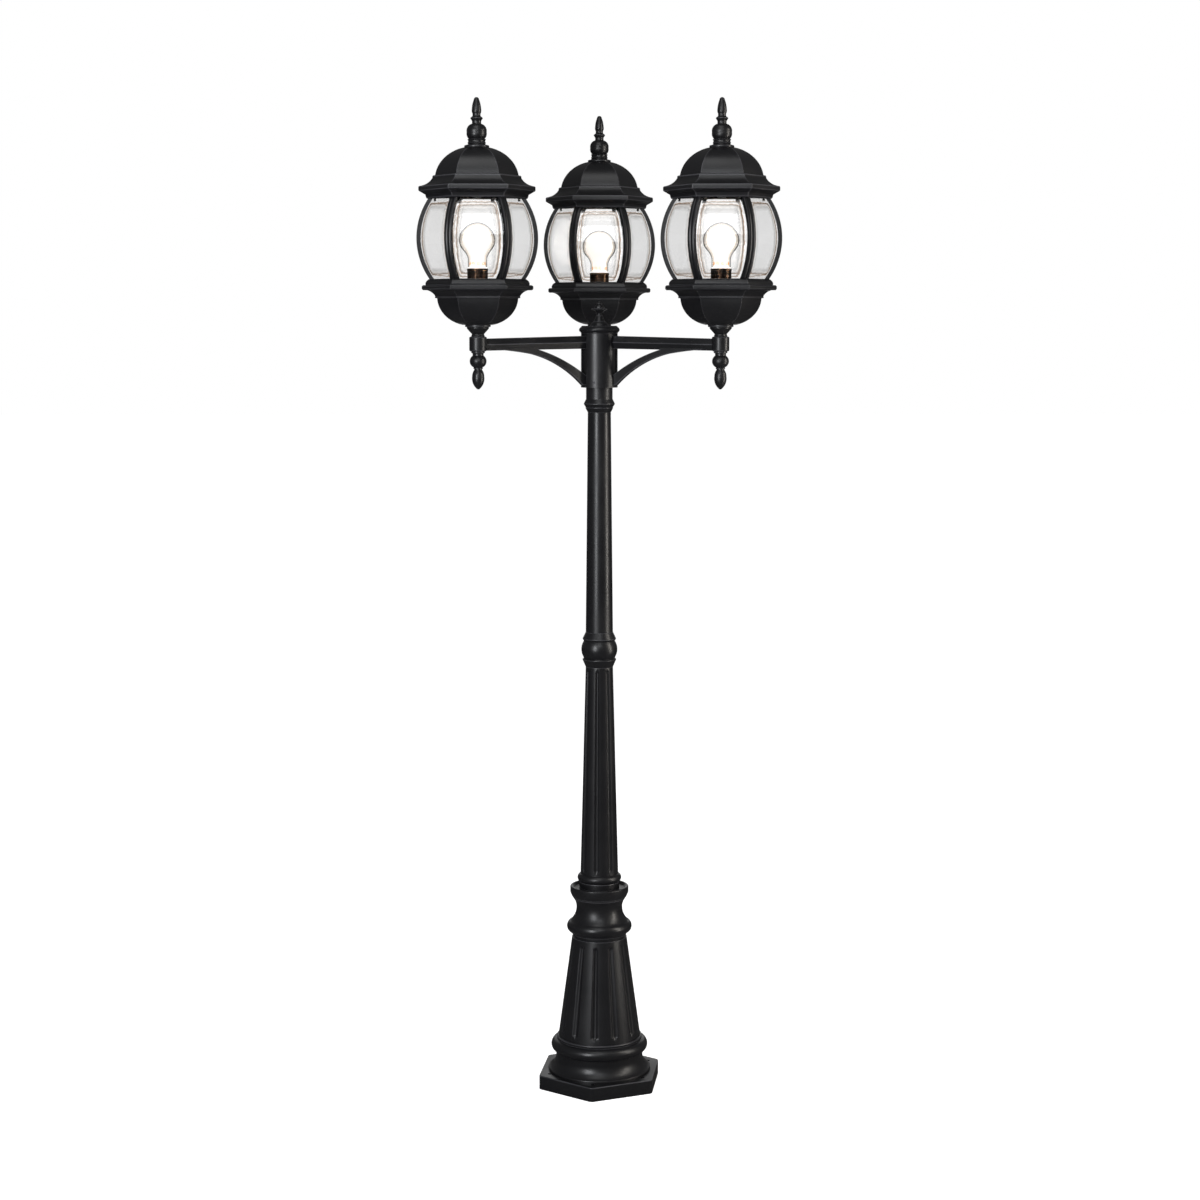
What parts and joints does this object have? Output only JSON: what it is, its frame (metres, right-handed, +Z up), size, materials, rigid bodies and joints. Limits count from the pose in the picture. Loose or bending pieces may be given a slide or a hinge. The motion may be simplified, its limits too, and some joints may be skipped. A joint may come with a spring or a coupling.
{
  "type": "lamp post",
  "caption": "Free-standing garden lamp post: fluted foot on a hexagonal plate, turned column and three arms with hexagonal bevelled-glass lanterns.",
  "frame": {"origin": "on the post's axis, in the plane of the base plate's underside", "axes": "+Z up along the post, -Y towards the two front lanterns, +X to the right seen from the front"},
  "size_m": [0.6354, 0.5504, 1.7951],
  "materials": {
    "casting": "black satin powder coat on cast aluminium",
    "cover": "black satin powder coat on sheet aluminium",
    "steel": "zinc plated",
    "clip": "black oxide spring steel",
    "pane": "clear bevelled glass",
    "holder": "dark bronze sleeve",
    "lamp_cap": "plain rolled metal",
    "lamp_globe": "lit, soft white inside coating"
  },
  "bodies": {
    "post": {"base_casting": "casting", "column_nipples": "steel", "lower_column": "casting", "knuckle": "casting", "upper_column": "casting", "neck_collar": "casting"},
    "head": {"hub": "casting", "hub_cap": "casting", "hub_finial": "casting", "hub_set_screws": "steel", "arm_left": "casting", "arm_right": "casting", "arm_rear": "casting", "stem_nipples": "steel", "stem_collars": "casting", "pendants": "casting", "glass_clips": "clip", "lampholders": "holder", "bulb_caps": "lamp_cap", "bulb_globes": "lamp_globe", "pan_left": "casting", "pan_cover_left": "cover", "cage_left": "casting", "glass_left": "pane", "roof_bar_left": "steel", "pan_right": "casting", "pan_cover_right": "cover", "cage_right": "casting", "glass_right": "pane", "roof_bar_right": "steel", "pan_rear": "casting", "pan_cover_rear": "cover", "cage_rear": "casting", "glass_rear": "pane", "roof_bar_rear": "steel"},
    "roof_left": {"roof_left": "casting", "roof_finial_left": "casting"},
    "roof_right": {"roof_right": "casting", "roof_finial_right": "casting"},
    "roof_rear": {"roof_rear": "casting", "roof_finial_rear": "casting"}
  },
  "joints": [
    {"name": "head_swivel", "type": "hinge", "parent": "post", "child": "head", "pos_m": [0, 0, 1.2931], "axis": [0, 0, 1], "range_deg": [-180, 180]},
    {"name": "roof_lift_left", "type": "slide", "parent": "head", "child": "roof_left", "axis": [0, 0, 1], "range_m": [0, 0.1]},
    {"name": "roof_lift_right", "type": "slide", "parent": "head", "child": "roof_right", "axis": [0, 0, 1], "range_m": [0, 0.1]},
    {"name": "roof_lift_rear", "type": "slide", "parent": "head", "child": "roof_rear", "axis": [0, 0, 1], "range_m": [0, 0.1]}
  ]
}
